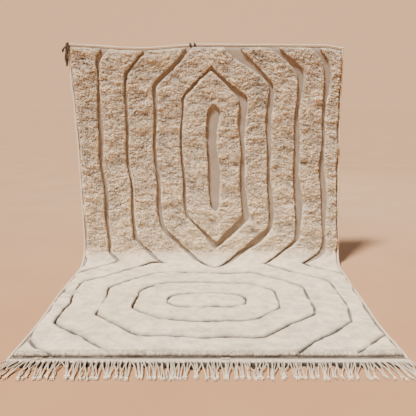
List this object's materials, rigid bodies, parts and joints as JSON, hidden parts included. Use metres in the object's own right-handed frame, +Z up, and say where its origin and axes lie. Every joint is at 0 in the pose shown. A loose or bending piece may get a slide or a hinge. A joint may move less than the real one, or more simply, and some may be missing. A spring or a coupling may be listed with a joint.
{
  "type": "hanging carved-pile wool rug",
  "caption": "Cream hand-knotted wool rug with carved relief pile, hung from its top edge, bending onto the floor and ending in a knotted fringe.",
  "frame": {"origin": "on the floor, under the middle of the rug's overall box", "axes": "+X to the right as seen from the front, +Y back towards the hanging part, +Z up; the pile of the hanging part faces -Y"},
  "size_m": [2.0768, 1.7034, 1.662],
  "materials": {
    "pile": "matt carved wool pile, cream",
    "ground": "matt woven wool ground, grey-beige",
    "end_cord": "matt twisted wool cord, off-white",
    "side_cord": "matt overcast wool cord, beige",
    "fringe": "matt twisted warp cord, off-white",
    "tie": "matt wool yarn, dark grey-brown"
  },
  "bodies": {
    "root": {"rug_body": "pile", "head_cord": "end_cord", "selvedge_left": "side_cord", "selvedge_right": "side_cord", "front_fringe": "fringe", "corner_tie": "tie", "middle_tie_left": "tie", "middle_tie_right": "tie", "end_knot_left": "fringe", "end_knot_middle": "fringe"}
  },
  "joints": []
}
